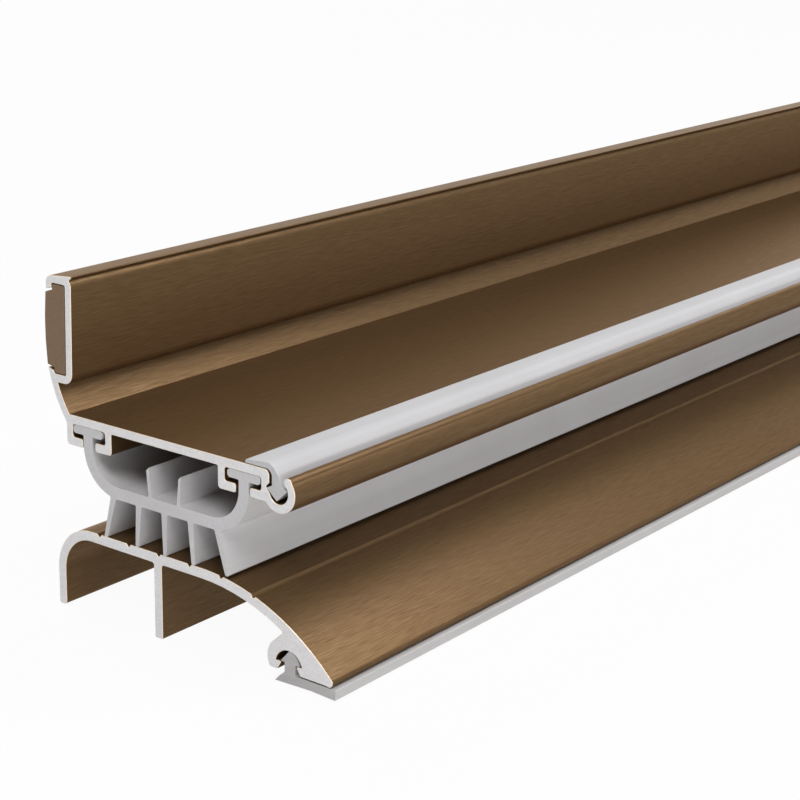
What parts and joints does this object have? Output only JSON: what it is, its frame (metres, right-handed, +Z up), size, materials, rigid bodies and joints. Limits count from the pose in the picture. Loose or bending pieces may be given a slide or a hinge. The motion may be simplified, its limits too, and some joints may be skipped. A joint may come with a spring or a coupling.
{
  "type": "door bottom seal",
  "caption": "Aluminium door bottom seal on its threshold: slotted carrier with upstand, finned compression gasket, front lip seal, ribbed threshold plate and base seal",
  "frame": {"origin": "centre of the footprint, on the sill surface that the threshold stands on", "axes": "+X along the length of the profiles, +Y from the sloping nose towards the upstand at the back, +Z up"},
  "size_m": [0.914, 0.0578, 0.0531],
  "materials": {
    "bronze_threshold": "bronze anodised, fine lengthwise lines, bare saw-cut ends",
    "base_seal_rubber": "grey, smooth, matt",
    "bronze_carrier": "bronze anodised, fine lengthwise lines, bare saw-cut ends",
    "brown_plastic": "brown, matt",
    "gasket_rubber": "grey, smooth, matt",
    "lip_rubber": "very light grey, smooth, matt"
  },
  "bodies": {
    "root": {"threshold_plate": "bronze_threshold", "base_seal": "base_seal_rubber", "door_carrier": "bronze_carrier", "cover_strip": "brown_plastic", "compression_gasket": "gasket_rubber", "front_lip_seal": "lip_rubber"}
  },
  "joints": []
}
